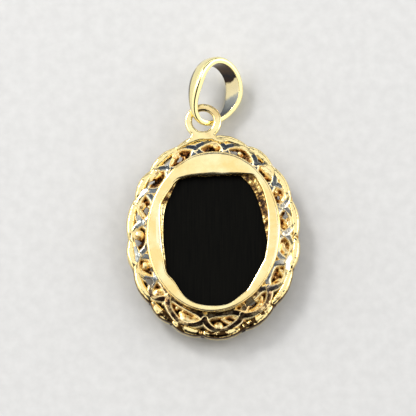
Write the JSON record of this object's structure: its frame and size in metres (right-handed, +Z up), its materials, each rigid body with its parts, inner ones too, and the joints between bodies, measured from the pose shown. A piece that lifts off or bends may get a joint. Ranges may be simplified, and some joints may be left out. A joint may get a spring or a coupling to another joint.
{
  "type": "pendant",
  "caption": "Oval black stone pendant in a cast gold frame of pierced scrollwork with a scalloped border, with a loose tapered bail on a fixed loop.",
  "frame": {"origin": "middle of the stone's flat table, which lies on the surface", "axes": "+X across the pendant, +Y along it towards the bail, +Z up through its back"},
  "size_m": [0.0174, 0.0292, 0.0048],
  "materials": {
    "gold": "polished with cast recesses",
    "bail_gold": "polished",
    "onyx": "polished"
  },
  "bodies": {
    "root": {"frame": "gold", "onyx_stone": "onyx", "bail": "bail_gold"}
  },
  "joints": []
}
